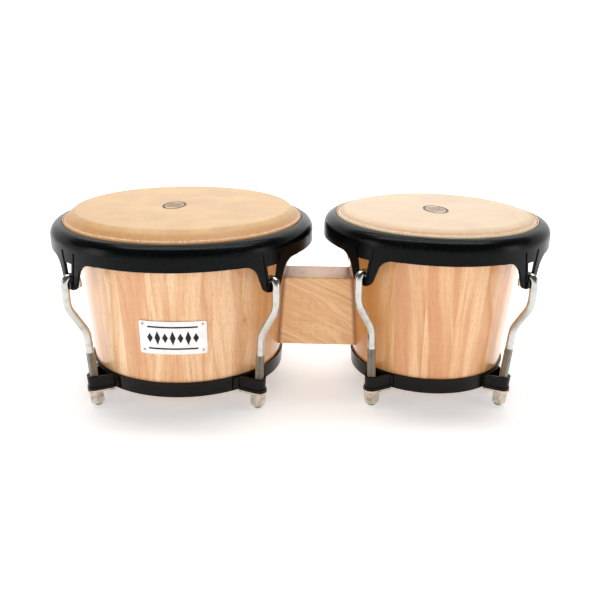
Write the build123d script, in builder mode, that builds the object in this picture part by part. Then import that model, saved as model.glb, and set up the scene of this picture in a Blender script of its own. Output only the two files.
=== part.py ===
from build123d import *

import os
from dataclasses import dataclass
from math import atan, cos, degrees, radians, sin

# Bongo drums: a large drum (the hembra) and a small drum (the macho) side by side, held apart by a
# wooden block.  Each drum is a tapered staved shell.  Its head is drawn down over the bearing edge by
# a rim and four hooks, whose nuts pull against lugs on a steel bottom ring.
#
# Millimetres, +Z up, the pair lies along X with the hembra at -X.  The origin is on the ground, midway
# across the pair.  The drums stand on the ends of their eight hooks.

# ---- heights shared by both drums ----
ROD_SHOWING = 2.5  # rod left below a nut
NUT_HEIGHT = 13.0
PLATE_THICKNESS = 2.0
TURNING_GAP = 0.15  # between a nut and the plate it bears on
RING_BOTTOM_Z = ROD_SHOWING + NUT_HEIGHT + TURNING_GAP + PLATE_THICKNESS
RING_HEIGHT = 14.0
RING_THICKNESS = 2.0
RING_LEDGE = 8.0  # width of the ledge that carries the shell
SHELL_BOTTOM_Z = RING_BOTTOM_Z + RING_THICKNESS
SHELL_HEIGHT = 150.5
SHELL_TOP_Z = SHELL_BOTTOM_Z + SHELL_HEIGHT

# ---- shells and heads ----
SHELL_THICKNESS = 11.0
BEARING_EDGE_R = 7.0
SKIN_THICKNESS = 1.8
SKIN_GAP = 0.2
SHOULDER_INSET = 2.0  # of the head's shoulder, from the outside of the shell
COLLAR_GAP = 0.8  # between the head's upright collar and the rim
COLLAR_DEPTH = 12.0  # below the top of the rim
HOOP_R = 2.0
HOOP_GAP = 1.4  # room for the hide that is folded round the hoop
HOOP_DEPTH = 7.4  # of the hoop's middle, below the top of the rim

# ---- rims ----
RIM_WIDTH = 11.4
RIM_FALL = 2.5  # the lip slopes down by this much towards the outside
LIP_THICKNESS = 2.8
SKIRT_THICKNESS = 2.4
SKIRT_DEPTH = 21.3
RIM_ROLL_R = 10.5
RIM_INSIDE_ROLL_R = 7.0
LIP_EDGE_R = 1.2
SKIRT_EDGE_R = 0.6
EAR_DEPTH = 47.3
EAR_ROOT_HALF_WIDTH = 18.0
EAR_BAND_REACH = 18.0  # of the strip that an ear hangs from, past the ear's root on each side
EAR_BAND_OVERLAP = 6.0  # of that strip, up inside the skirt
EAR_TIP_HALF_WIDTH = 8.2
EAR_ROOT_FILLET = 16.0
EAR_TIP_FILLET = 7.6
SLOT_TOP_DEPTH = 23.8
SLOT_BOTTOM_DEPTH = 40.1
SLOT_TOP_HALF_WIDTH = 7.3
SLOT_BOTTOM_HALF_WIDTH = 4.4
SLOT_FILLET = 0.8
RIB_WIDTH = 2.0
RIB_RISE = 0.7
RIB_TOP_DEPTH = 14.0
RIB_BOTTOM_DEPTH = 43.0

# ---- hooks and nuts ----
ROD_R = 3.55
THREAD_R = 3.85
THREAD_TOP_DEPTH = 109.0  # below the top of the rim
HOOK_BEND_R = 5.75
HOOK_BEND_DEPTH = 41.8
HOOK_TIP_LENGTH = 4.5
CRANK_TOP_DEPTH = 62.0
CRANK_BOTTOM_DEPTH = 90.0
CRANK_FILLET = 22.0
ROD_END_CHAMFER = 0.7
ROD_END_EXCESS = 2.0  # cut off level with the ground
NUT_FLATS = 12.0
NUT_BORE_R = 4.1
NUT_FACE_R = 5.0  # of the round face left by the chamfer at the foot of a nut
NUT_CHAMFER_TAPER = -50

# ---- lugs on the bottom rings ----
LUG_NOSE_R = 6.4
LUG_FOOT_HALF_WIDTH = 12.5
LUG_FLANGE_DEGREES = 23.0
LUG_FLANGE_THICKNESS = 1.6
STRAP_THICKNESS = 2.0
STRAP_HEIGHT = 13.0
LUG_BASE_THICKNESS = 2.4
LUG_BASE_LIP = 0.8
PLATE_LIP = 1.5
ROD_HOLE_R = 4.3

# ---- centre block and its fastenings ----
BLOCK_BOTTOM_Z = 41.0
BLOCK_HEIGHT = 68.0
BLOCK_THICKNESS = 40.0
BLOCK_EDGE_R = 1.5
BLOCK_GAP = 0.1  # between the block's hollowed ends and the shells
BOLT_HEIGHTS = (57.5, 92.5)
BOLT_R = 3.95
BOLT_HOLE_R = 4.3
BOLT_LENGTH = 33.0
BOLT_HEAD_FLATS = 13.0
BOLT_HEAD_HEIGHT = 5.3
WASHER_R = 11.0
WASHER_THICKNESS = 2.0
SEAT_R = 12.0
INSERT_R = 6.0
INSERT_BORE_R = 4.0
INSERT_LENGTH = 20.0
INSERT_RECESS = 1.0

# ---- badge ----
BADGE_ANGLE = -88
BADGE_WIDTH = 58.0
BADGE_HEIGHT = 31.0
BADGE_THICKNESS = 0.7
BADGE_CORNER_R = 2.0
BADGE_CENTRE_Z = 75.5
BADGE_GAP = 0.1
NAIL_INSET = 3.2
NAIL_HEAD_R = 1.4
NAIL_HEAD_GAP = 0.03
NAIL_HEAD_HEIGHT = 0.6
NAIL_SHANK_R = 0.6
NAIL_HOLE_R = 0.65
NAIL_LENGTH = 7.0


@dataclass
class Drum:
    """The sizes that differ from one drum to the other."""

    name: str
    x: float  # of the drum's axis
    block_side: int  # +1 when the block lies towards +X
    shell_bottom_r: float
    shell_top_r: float
    rim_inner_r: float
    rim_top_z: float
    rod_foot_r: float  # from the drum's axis to the rod, at the underside of the lug
    ear_angles: tuple  # of two ears; the other two are opposite them
    lug_angles: tuple  # of two lugs; the other two are opposite them

    @property
    def axis(self):
        return Axis((self.x, 0, 0), (0, 0, 1))

    @property
    def wall_slope(self):
        return (self.shell_top_r - self.shell_bottom_r) / SHELL_HEIGHT

    @property
    def lean(self):
        """The rods run parallel to the shell wall."""
        return atan(self.wall_slope)

    @property
    def rim_outer_r(self):
        return self.rim_inner_r + RIM_WIDTH

    @property
    def skirt_inner_r(self):
        return self.rim_outer_r - SKIRT_THICKNESS

    @property
    def collar_r(self):
        return self.rim_inner_r - COLLAR_GAP

    @property
    def ring_outer_r(self):
        return self.shell_r(RING_BOTTOM_Z + RING_HEIGHT) + RING_THICKNESS

    def shell_r(self, z):
        """Outside radius of the shell at height z."""
        return self.shell_bottom_r + self.wall_slope * (z - SHELL_BOTTOM_Z)

    def bolt_seat(self, z):
        """Distance from the axis to the flat seat cut inside the shell for a washer."""
        return self.shell_r(z) - SHELL_THICKNESS + 1.0


HEMBRA = Drum(
    name="hembra",
    x=-109.25,
    block_side=1,
    shell_bottom_r=90.5,
    shell_top_r=101.0,
    rim_inner_r=110.0,
    rim_top_z=163.0,
    rod_foot_r=105.2,
    ear_angles=(46.7, 136.7),
    lug_angles=(45.5, 135.5),
)
MACHO = Drum(
    name="macho",
    x=126.75,
    block_side=-1,
    shell_bottom_r=71.3,
    shell_top_r=83.0,
    rim_inner_r=92.5,
    rim_top_z=168.0,
    rod_foot_r=85.5,
    ear_angles=(46.7, 133.3),
    lug_angles=(48.0, 138.0),
)
DRUMS = (HEMBRA, MACHO)


def opposite_too(angles):
    """The angles, then those opposite them."""
    return [angle + turn for turn in (0, 180) for angle in angles]


def point_on(drum, angle, r, z):
    """The point at this angle, distance from the drum's axis and height."""
    a = radians(angle)
    return Vector(drum.x + r * cos(a), r * sin(a), z)


def radial_plane(drum, angle):
    """A plane through the drum's axis: x runs outward at the angle, y runs up."""
    a = radians(angle)
    return Plane(origin=(drum.x, 0, 0), x_dir=(cos(a), sin(a), 0), z_dir=(sin(a), -cos(a), 0))


def tangent_plane(drum, angle):
    """A plane through the drum's axis that faces outward at the angle: y runs up."""
    a = radians(angle)
    return Plane(origin=(drum.x, 0, 0), x_dir=(-sin(a), cos(a), 0), z_dir=(cos(a), sin(a), 0))


def rod_plane(drum, angle, distance):
    """A plane across a rod, this far up the rod from the underside of its lug: x runs outward."""
    a = radians(angle)
    tilt_out = sin(drum.lean)
    tilt_up = cos(drum.lean)
    r = drum.rod_foot_r + distance * tilt_out
    return Plane(
        origin=(drum.x + r * cos(a), r * sin(a), RING_BOTTOM_Z + distance * tilt_up),
        x_dir=(tilt_up * cos(a), tilt_up * sin(a), -tilt_out),
        z_dir=(tilt_out * cos(a), tilt_out * sin(a), tilt_up),
    )


def bolt_plane(drum, height, distance):
    """A plane across a block bolt, this far from the drum's axis."""
    return Plane(
        origin=(drum.x + drum.block_side * distance, 0, height),
        x_dir=(0, 1, 0),
        z_dir=(drum.block_side, 0, 0),
    )


def save(piece, label):
    """Name a finished piece and write it out."""
    piece.part.label = label
    export_step(piece.part, f"parts/{label}.step")


# ---------------------------------------------------------------- shells and heads
def make_shell(drum):
    outline = (
        (drum.shell_bottom_r, SHELL_BOTTOM_Z),
        (drum.shell_top_r, SHELL_TOP_Z),
        (drum.shell_top_r - SHELL_THICKNESS, SHELL_TOP_Z),
        (drum.shell_bottom_r - SHELL_THICKNESS, SHELL_BOTTOM_Z),
    )
    with BuildPart() as shell:
        with BuildSketch(radial_plane(drum, 0)):
            with BuildLine():
                FilletPolyline(*outline, radius=(0, BEARING_EDGE_R, 2.5, 0), close=True)
            make_face()
        revolve(axis=drum.axis)
        for height in BOLT_HEIGHTS:
            with BuildSketch(bolt_plane(drum, height, 0)):
                Circle(BOLT_HOLE_R)
            extrude(amount=drum.shell_top_r, mode=Mode.SUBTRACT)
            with BuildSketch(bolt_plane(drum, height, 0)):
                Circle(SEAT_R)
            extrude(amount=drum.bolt_seat(height), mode=Mode.SUBTRACT)
        if drum is HEMBRA:
            for plane in nail_planes():
                with BuildSketch(plane):
                    Circle(NAIL_HOLE_R)
                extrude(amount=-NAIL_LENGTH - 0.5, mode=Mode.SUBTRACT)
    return shell


def make_head_skin(drum):
    """A flat skin that turns down over the bearing edge, and then upright inside the rim."""
    under = SHELL_TOP_Z + SKIN_GAP
    crown = under + SKIN_THICKNESS
    shoulder_r = drum.shell_top_r - SHOULDER_INSET
    bend_z = min(drum.rim_top_z + 0.7, crown - 3.3)
    collar_bottom = drum.rim_top_z - COLLAR_DEPTH
    inner_collar_r = drum.collar_r - SKIN_THICKNESS
    with BuildPart() as skin:
        with BuildSketch(radial_plane(drum, 0)):
            with BuildLine():
                top = FilletPolyline(
                    (0, crown),
                    (shoulder_r, crown),
                    (drum.collar_r, bend_z),
                    (drum.collar_r, collar_bottom),
                    radius=(8.0, 3.8),
                )
                bottom = FilletPolyline(
                    (inner_collar_r, collar_bottom),
                    (inner_collar_r, bend_z - 1.0),
                    (shoulder_r - 0.6, under),
                    (0, under),
                    radius=(2.0, 6.2),
                )
                Line(top @ 1, bottom @ 0)
                Line(bottom @ 1, top @ 0)
            make_face()
        revolve(axis=drum.axis)
    return skin


def make_flesh_hoop(drum):
    hoop_r = drum.collar_r + HOOP_GAP + HOOP_R
    hoop_z = drum.rim_top_z - HOOP_DEPTH
    with BuildPart() as hoop:
        with BuildSketch(radial_plane(drum, 0)):
            with Locations((hoop_r, hoop_z)):
                Circle(HOOP_R)
        revolve(axis=drum.axis)
    return hoop


# ---------------------------------------------------------------- rims
def make_ear_ribs(drum):
    """Raised ribs down both sides of each slot, as a solid of all eight."""
    inner = drum.rim_outer_r - 1.0
    lean = atan((SLOT_TOP_HALF_WIDTH - SLOT_BOTTOM_HALF_WIDTH) / (SLOT_BOTTOM_DEPTH - SLOT_TOP_DEPTH))
    middle_depth = (RIB_TOP_DEPTH + RIB_BOTTOM_DEPTH) / 2
    middle_offset = (SLOT_TOP_HALF_WIDTH + SLOT_BOTTOM_HALF_WIDTH) / 2 + RIB_WIDTH / 2
    rib_length = RIB_BOTTOM_DEPTH - RIB_TOP_DEPTH
    with BuildPart() as ribs:
        for angle in drum.ear_angles:
            with BuildSketch(tangent_plane(drum, angle)):
                for side in (-1, 1):
                    middle = (side * middle_offset, drum.rim_top_z - middle_depth)
                    with Locations(Location(middle, -side * degrees(lean))):
                        SlotOverall(rib_length, RIB_WIDTH, rotation=90)
            extrude(amount=drum.rim_outer_r + 10, both=True)
        with BuildSketch(radial_plane(drum, 0)):
            with Locations(((inner + drum.rim_outer_r + RIB_RISE) / 2, drum.rim_top_z - middle_depth)):
                Rectangle(drum.rim_outer_r + RIB_RISE - inner, rib_length + 10)
        revolve(axis=drum.axis, mode=Mode.INTERSECT)
    return ribs


def make_rim(drum):
    """A pressed ring with a lip over the flesh hoop, a skirt, and four slotted ears."""
    top = drum.rim_top_z
    band_half_width = EAR_ROOT_HALF_WIDTH + EAR_BAND_REACH
    ears_outline = (
        (-band_half_width, top - SKIRT_DEPTH + EAR_BAND_OVERLAP),
        (-band_half_width, top - SKIRT_DEPTH),
        (-EAR_ROOT_HALF_WIDTH, top - SKIRT_DEPTH),
        (-EAR_TIP_HALF_WIDTH, top - EAR_DEPTH),
        (EAR_TIP_HALF_WIDTH, top - EAR_DEPTH),
        (EAR_ROOT_HALF_WIDTH, top - SKIRT_DEPTH),
        (band_half_width, top - SKIRT_DEPTH),
        (band_half_width, top - SKIRT_DEPTH + EAR_BAND_OVERLAP),
    )
    ears_radii = (0, 0, EAR_ROOT_FILLET, EAR_TIP_FILLET, EAR_TIP_FILLET, EAR_ROOT_FILLET, 0, 0)
    slot_outline = (
        (-SLOT_TOP_HALF_WIDTH, top - SLOT_TOP_DEPTH),
        (-SLOT_BOTTOM_HALF_WIDTH, top - SLOT_BOTTOM_DEPTH),
        (SLOT_BOTTOM_HALF_WIDTH, top - SLOT_BOTTOM_DEPTH),
        (SLOT_TOP_HALF_WIDTH, top - SLOT_TOP_DEPTH),
    )
    ring_outline = (
        (drum.rim_inner_r, top),
        (drum.rim_outer_r, top - RIM_FALL),
        (drum.rim_outer_r, top - SKIRT_DEPTH),
        (drum.skirt_inner_r, top - SKIRT_DEPTH),
        (drum.skirt_inner_r, top - RIM_FALL - LIP_THICKNESS),
        (drum.rim_inner_r, top - LIP_THICKNESS),
    )
    ring_radii = (LIP_EDGE_R, RIM_ROLL_R, SKIRT_EDGE_R, SKIRT_EDGE_R, RIM_INSIDE_ROLL_R, LIP_EDGE_R)
    ribs = make_ear_ribs(drum)
    with BuildPart() as rim:
        for angle in drum.ear_angles:
            with BuildSketch(tangent_plane(drum, angle)):
                with BuildLine():
                    FilletPolyline(*ears_outline, radius=ears_radii, close=True)
                make_face()
            extrude(amount=drum.rim_outer_r + 10, both=True)
        with BuildSketch(radial_plane(drum, 0)):
            with Locations(((drum.skirt_inner_r + drum.rim_outer_r) / 2, top - EAR_DEPTH / 2)):
                Rectangle(SKIRT_THICKNESS, EAR_DEPTH + 4)
        revolve(axis=drum.axis, mode=Mode.INTERSECT)
        for angle in drum.ear_angles:
            with BuildSketch(tangent_plane(drum, angle)):
                with BuildLine():
                    FilletPolyline(*slot_outline, radius=SLOT_FILLET, close=True)
                make_face()
            extrude(amount=drum.rim_outer_r + 10, both=True, mode=Mode.SUBTRACT)
        with BuildSketch(radial_plane(drum, 0)):
            with BuildLine():
                FilletPolyline(*ring_outline, radius=ring_radii, close=True)
            make_face()
        revolve(axis=drum.axis)
        add(ribs.part)
    return rim


# ---------------------------------------------------------------- hooks, nuts and lugs
def make_hook(drum, ear_angle, lug_angle):
    """A rod hooked over the ear's slot, cranked in to the lug and threaded below."""
    top = drum.rim_top_z
    bend_z = top - HOOK_BEND_DEPTH
    bend_r = drum.rim_outer_r - SKIRT_THICKNESS / 2
    outer_r = bend_r + HOOK_BEND_R
    tip_r = bend_r - HOOK_BEND_R
    foot_distance = -(RING_BOTTOM_Z + ROD_END_EXCESS) / cos(drum.lean)
    crank_distance = (top - CRANK_BOTTOM_DEPTH - RING_BOTTOM_Z) / cos(drum.lean)
    thread_distance = (top - THREAD_TOP_DEPTH - RING_BOTTOM_Z) / cos(drum.lean)
    foot = rod_plane(drum, lug_angle, foot_distance)
    with BuildPart() as hook:
        with BuildLine() as centreline:
            FilletPolyline(
                foot.origin,
                rod_plane(drum, lug_angle, crank_distance).origin,
                point_on(drum, ear_angle, outer_r, top - CRANK_TOP_DEPTH),
                point_on(drum, ear_angle, outer_r, bend_z),
                radius=CRANK_FILLET,
            )
            ThreePointArc(
                point_on(drum, ear_angle, outer_r, bend_z),
                point_on(drum, ear_angle, bend_r, bend_z + HOOK_BEND_R),
                point_on(drum, ear_angle, tip_r, bend_z),
            )
            Line(
                point_on(drum, ear_angle, tip_r, bend_z),
                point_on(drum, ear_angle, tip_r, bend_z - HOOK_TIP_LENGTH),
            )
        with BuildSketch(foot):
            Circle(ROD_R)
        sweep(path=centreline.wire())
        with BuildSketch(foot):
            Circle(THREAD_R)
        extrude(amount=thread_distance - foot_distance)
        split(bisect_by=Plane.XY, keep=Keep.TOP)
        chamfer(hook.faces().sort_by(Axis.Z)[0].edges(), ROD_END_CHAMFER)
    return hook


def lug_outline(drum, growth):
    """A lug seen along its rod: a round nose about the rod and a straight foot on the ring."""
    foot_x = drum.ring_outer_r - drum.rod_foot_r
    with BuildSketch() as outline:
        Circle(LUG_NOSE_R + growth)
        with Locations((foot_x, 0)):
            Rectangle(0.5, 2 * (LUG_FOOT_HALF_WIDTH + growth))
        make_hull()
    return outline.sketch


def make_bottom_ring(drum):
    """A tapered steel band with a ledge under the shell and four welded strap lugs."""
    ring_top_z = RING_BOTTOM_Z + RING_HEIGHT
    bottom_r = drum.shell_r(RING_BOTTOM_Z)
    top_r = drum.shell_r(ring_top_z)
    ring_outline = (
        (bottom_r - RING_LEDGE, RING_BOTTOM_Z),
        (bottom_r + RING_THICKNESS, RING_BOTTOM_Z),
        (top_r + RING_THICKNESS, ring_top_z),
        (top_r, ring_top_z),
        (drum.shell_bottom_r, SHELL_BOTTOM_Z),
        (bottom_r - RING_LEDGE, SHELL_BOTTOM_Z),
    )
    shell_space = (
        (0, RING_BOTTOM_Z - 10),
        (drum.shell_r(RING_BOTTOM_Z - 10) + RING_THICKNESS / 2, RING_BOTTOM_Z - 10),
        (drum.shell_r(ring_top_z + 10) + RING_THICKNESS / 2, ring_top_z + 10),
        (0, ring_top_z + 10),
    )
    nose = lug_outline(drum, 0)
    hollow = lug_outline(drum, -STRAP_THICKNESS)
    base = lug_outline(drum, LUG_BASE_LIP)
    with BuildPart() as ring:
        for angle in opposite_too(drum.lug_angles):
            with BuildSketch(rod_plane(drum, angle, 0)):
                add(nose)
                add(hollow, mode=Mode.SUBTRACT)
                foot_x = drum.ring_outer_r - drum.rod_foot_r
                with Locations((foot_x, 0)):
                    Rectangle(
                        2.2 * STRAP_THICKNESS,
                        2 * (LUG_FOOT_HALF_WIDTH - STRAP_THICKNESS),
                        mode=Mode.SUBTRACT,
                    )
            extrude(amount=STRAP_HEIGHT)
            with BuildSketch(rod_plane(drum, angle, 0)):
                add(base)
            extrude(amount=LUG_BASE_THICKNESS)
            with BuildSketch(radial_plane(drum, angle - LUG_FLANGE_DEGREES / 2)):
                with BuildLine():
                    Polyline(
                        (bottom_r + 1, RING_BOTTOM_Z + 1.2),
                        (bottom_r + RING_THICKNESS + LUG_FLANGE_THICKNESS, RING_BOTTOM_Z + 1.2),
                        (top_r + RING_THICKNESS + LUG_FLANGE_THICKNESS, ring_top_z - 0.8),
                        (top_r + 1, ring_top_z - 0.8),
                        close=True,
                    )
                make_face()
            revolve(axis=drum.axis, revolution_arc=LUG_FLANGE_DEGREES)
        with BuildSketch(radial_plane(drum, 0)):
            with BuildLine():
                Polyline(*shell_space, close=True)
            make_face()
        revolve(axis=drum.axis, mode=Mode.SUBTRACT)
        with BuildSketch(radial_plane(drum, 0)):
            with BuildLine():
                Polyline(*ring_outline, close=True)
            make_face()
        revolve(axis=drum.axis)
        for angle in opposite_too(drum.lug_angles):
            with BuildSketch(rod_plane(drum, angle, -1)):
                Circle(ROD_HOLE_R)
            extrude(amount=LUG_BASE_THICKNESS + 2, mode=Mode.SUBTRACT)
    return ring


def make_lug_plates(drum):
    """Plated bearing plates, one under each lug."""
    outline = lug_outline(drum, PLATE_LIP)
    with BuildPart() as plates:
        for angle in opposite_too(drum.lug_angles):
            with BuildSketch(rod_plane(drum, angle, -PLATE_THICKNESS)):
                add(outline)
                Circle(ROD_HOLE_R, mode=Mode.SUBTRACT)
            extrude(amount=PLATE_THICKNESS)
    return plates


def make_nut(drum, angle):
    """A tall hexagon nut with both ends chamfered."""
    bottom = -PLATE_THICKNESS - TURNING_GAP - NUT_HEIGHT
    with BuildPart() as nut:
        with BuildSketch(rod_plane(drum, angle, bottom)):
            RegularPolygon(NUT_FLATS / 2, 6, major_radius=False)
        extrude(amount=NUT_HEIGHT)
        with BuildSketch(rod_plane(drum, angle, bottom)):
            Circle(NUT_FACE_R)
        extrude(amount=NUT_HEIGHT, taper=NUT_CHAMFER_TAPER, mode=Mode.INTERSECT)
        with BuildSketch(rod_plane(drum, angle, bottom + NUT_HEIGHT)):
            Circle(NUT_FLATS / 2)
        extrude(amount=-NUT_HEIGHT, taper=NUT_CHAMFER_TAPER, mode=Mode.INTERSECT)
        with BuildSketch(rod_plane(drum, angle, bottom)):
            Circle(NUT_BORE_R)
        extrude(amount=NUT_HEIGHT, mode=Mode.SUBTRACT)
    return nut


# ---------------------------------------------------------------- centre block
def make_block():
    """A wooden block whose ends are hollowed to fit the two shells."""
    length = MACHO.x - HEMBRA.x
    middle = (MACHO.x + HEMBRA.x) / 2
    top_z = BLOCK_BOTTOM_Z + BLOCK_HEIGHT
    with BuildPart() as block:
        with BuildSketch(Plane.XY.offset(BLOCK_BOTTOM_Z)):
            with Locations((middle, 0)):
                Rectangle(length, BLOCK_THICKNESS)
        extrude(amount=BLOCK_HEIGHT)
        fillet(block.edges().filter_by(Axis.X), BLOCK_EDGE_R)
        for drum in DRUMS:
            with BuildSketch(radial_plane(drum, 0)):
                with BuildLine():
                    Polyline(
                        (0, BLOCK_BOTTOM_Z - 5),
                        (drum.shell_r(BLOCK_BOTTOM_Z - 5) + BLOCK_GAP, BLOCK_BOTTOM_Z - 5),
                        (drum.shell_r(top_z + 5) + BLOCK_GAP, top_z + 5),
                        (0, top_z + 5),
                        close=True,
                    )
                make_face()
            revolve(axis=drum.axis, mode=Mode.SUBTRACT)
            for height in BOLT_HEIGHTS:
                with BuildSketch(bolt_plane(drum, height, 0)):
                    Circle(INSERT_R)
                extrude(
                    amount=drum.shell_r(height) + INSERT_RECESS + INSERT_LENGTH,
                    mode=Mode.SUBTRACT,
                )
    return block


def make_block_inserts():
    """Threaded sleeves let into the ends of the block."""
    with BuildPart() as inserts:
        for drum in DRUMS:
            for height in BOLT_HEIGHTS:
                with BuildSketch(bolt_plane(drum, height, drum.shell_r(height) + INSERT_RECESS)):
                    Circle(INSERT_R)
                    Circle(INSERT_BORE_R, mode=Mode.SUBTRACT)
                extrude(amount=INSERT_LENGTH)
    return inserts


def make_block_bolts(drum):
    """Hexagon bolts from inside the shell into the block."""
    with BuildPart() as bolts:
        for height in BOLT_HEIGHTS:
            under_head = drum.bolt_seat(height) - WASHER_THICKNESS
            with BuildSketch(bolt_plane(drum, height, under_head - BOLT_HEAD_HEIGHT)):
                RegularPolygon(BOLT_HEAD_FLATS / 2, 6, major_radius=False)
            extrude(amount=BOLT_HEAD_HEIGHT)
            with BuildSketch(bolt_plane(drum, height, under_head)):
                Circle(BOLT_R)
            extrude(amount=BOLT_LENGTH)
    return bolts


def make_block_washers(drum):
    with BuildPart() as washers:
        for height in BOLT_HEIGHTS:
            with BuildSketch(bolt_plane(drum, height, drum.bolt_seat(height) - WASHER_THICKNESS)):
                Circle(WASHER_R)
                Circle(BOLT_HOLE_R, mode=Mode.SUBTRACT)
            extrude(amount=WASHER_THICKNESS)
    return washers


# ---------------------------------------------------------------- badge
def make_badge():
    """A thin plate curved round the front of the hembra's shell."""
    drum = HEMBRA
    low = BADGE_CENTRE_Z - BADGE_HEIGHT
    high = BADGE_CENTRE_Z + BADGE_HEIGHT
    with BuildPart() as badge:
        with BuildSketch(tangent_plane(drum, BADGE_ANGLE)):
            with Locations((0, BADGE_CENTRE_Z)):
                RectangleRounded(BADGE_WIDTH, BADGE_HEIGHT, BADGE_CORNER_R)
        extrude(amount=drum.shell_top_r)
        with BuildSketch(radial_plane(drum, 0)):
            with BuildLine():
                Polyline(
                    (drum.shell_r(low) + BADGE_GAP, low),
                    (drum.shell_r(low) + BADGE_GAP + BADGE_THICKNESS, low),
                    (drum.shell_r(high) + BADGE_GAP + BADGE_THICKNESS, high),
                    (drum.shell_r(high) + BADGE_GAP, high),
                    close=True,
                )
            make_face()
        revolve(axis=drum.axis, mode=Mode.INTERSECT)
        for plane in nail_planes():
            with BuildSketch(plane):
                Circle(NAIL_HOLE_R)
            extrude(amount=3, both=True, mode=Mode.SUBTRACT)
    return badge


def nail_planes():
    """Planes square to the badge's face, at its four corners."""
    drum = HEMBRA
    tilt_out = cos(drum.lean)
    tilt_down = sin(drum.lean)
    half_turn = degrees((BADGE_WIDTH / 2 - NAIL_INSET) / drum.shell_r(BADGE_CENTRE_Z))
    planes = []
    for side in (-1, 1):
        for rise in (-1, 1):
            z = BADGE_CENTRE_Z + rise * (BADGE_HEIGHT / 2 - NAIL_INSET)
            r = drum.shell_r(z) + BADGE_GAP + BADGE_THICKNESS + NAIL_HEAD_GAP
            a = radians(BADGE_ANGLE + side * half_turn)
            planes.append(
                Plane(
                    origin=(drum.x + r * cos(a), r * sin(a), z),
                    x_dir=(-sin(a), cos(a), 0),
                    z_dir=(tilt_out * cos(a), tilt_out * sin(a), -tilt_down),
                )
            )
    return planes


def make_badge_nails():
    with BuildPart() as nails:
        for plane in nail_planes():
            with BuildSketch(plane):
                Circle(NAIL_HEAD_R)
            extrude(amount=NAIL_HEAD_HEIGHT, taper=35)
            with BuildSketch(plane):
                Circle(NAIL_SHANK_R)
            extrude(amount=-NAIL_LENGTH)
    return nails


def main():
    os.makedirs("parts", exist_ok=True)
    for drum in DRUMS:
        save(make_shell(drum), f"{drum.name}_shell")
        save(make_head_skin(drum), f"{drum.name}_head_skin")
        save(make_flesh_hoop(drum), f"{drum.name}_flesh_hoop")
        save(make_rim(drum), f"{drum.name}_rim")
        save(make_bottom_ring(drum), f"{drum.name}_bottom_ring")
        save(make_lug_plates(drum), f"{drum.name}_lug_plates")
        angles = zip(opposite_too(drum.ear_angles), opposite_too(drum.lug_angles))
        for number, (ear_angle, lug_angle) in enumerate(angles, start=1):
            save(make_hook(drum, ear_angle, lug_angle), f"{drum.name}_hook_{number}")
            save(make_nut(drum, lug_angle), f"{drum.name}_nut_{number}")
        save(make_block_bolts(drum), f"{drum.name}_block_bolts")
        save(make_block_washers(drum), f"{drum.name}_block_washers")
    save(make_block(), "centre_block")
    save(make_block_inserts(), "block_inserts")
    save(make_badge(), "badge_plate")
    save(make_badge_nails(), "badge_nails")


main()
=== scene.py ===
from dataclasses import dataclass
from math import ceil, cos, pi, radians, sin, tan

import bmesh
import bpy
from mathutils import Matrix, Vector, noise


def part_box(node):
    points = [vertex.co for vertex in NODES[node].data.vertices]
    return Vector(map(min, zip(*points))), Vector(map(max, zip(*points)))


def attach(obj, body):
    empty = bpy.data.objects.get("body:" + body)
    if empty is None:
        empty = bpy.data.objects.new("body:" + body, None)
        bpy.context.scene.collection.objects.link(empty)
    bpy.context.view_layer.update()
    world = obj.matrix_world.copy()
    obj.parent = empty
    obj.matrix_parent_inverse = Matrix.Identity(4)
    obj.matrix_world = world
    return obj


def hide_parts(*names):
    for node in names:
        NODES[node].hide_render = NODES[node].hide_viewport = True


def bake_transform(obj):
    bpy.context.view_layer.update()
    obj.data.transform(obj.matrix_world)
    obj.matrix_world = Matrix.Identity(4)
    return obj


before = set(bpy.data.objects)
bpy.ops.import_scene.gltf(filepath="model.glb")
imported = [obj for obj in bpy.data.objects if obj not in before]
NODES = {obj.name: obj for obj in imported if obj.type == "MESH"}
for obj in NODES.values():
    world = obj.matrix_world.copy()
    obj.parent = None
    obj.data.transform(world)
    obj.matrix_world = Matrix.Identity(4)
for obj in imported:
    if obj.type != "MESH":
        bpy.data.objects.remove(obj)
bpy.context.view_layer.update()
MM = 0.001


def srgb(red, green, blue):
    """A colour given as it looks on a screen, 0 to 255, as the linear colour that shaders take."""
    linear = []
    for value in (red, green, blue):
        c = value / 255
        linear.append(c / 12.92 if c <= 0.04045 else ((c + 0.055) / 1.055) ** 2.4)
    return (*linear, 1.0)


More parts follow.
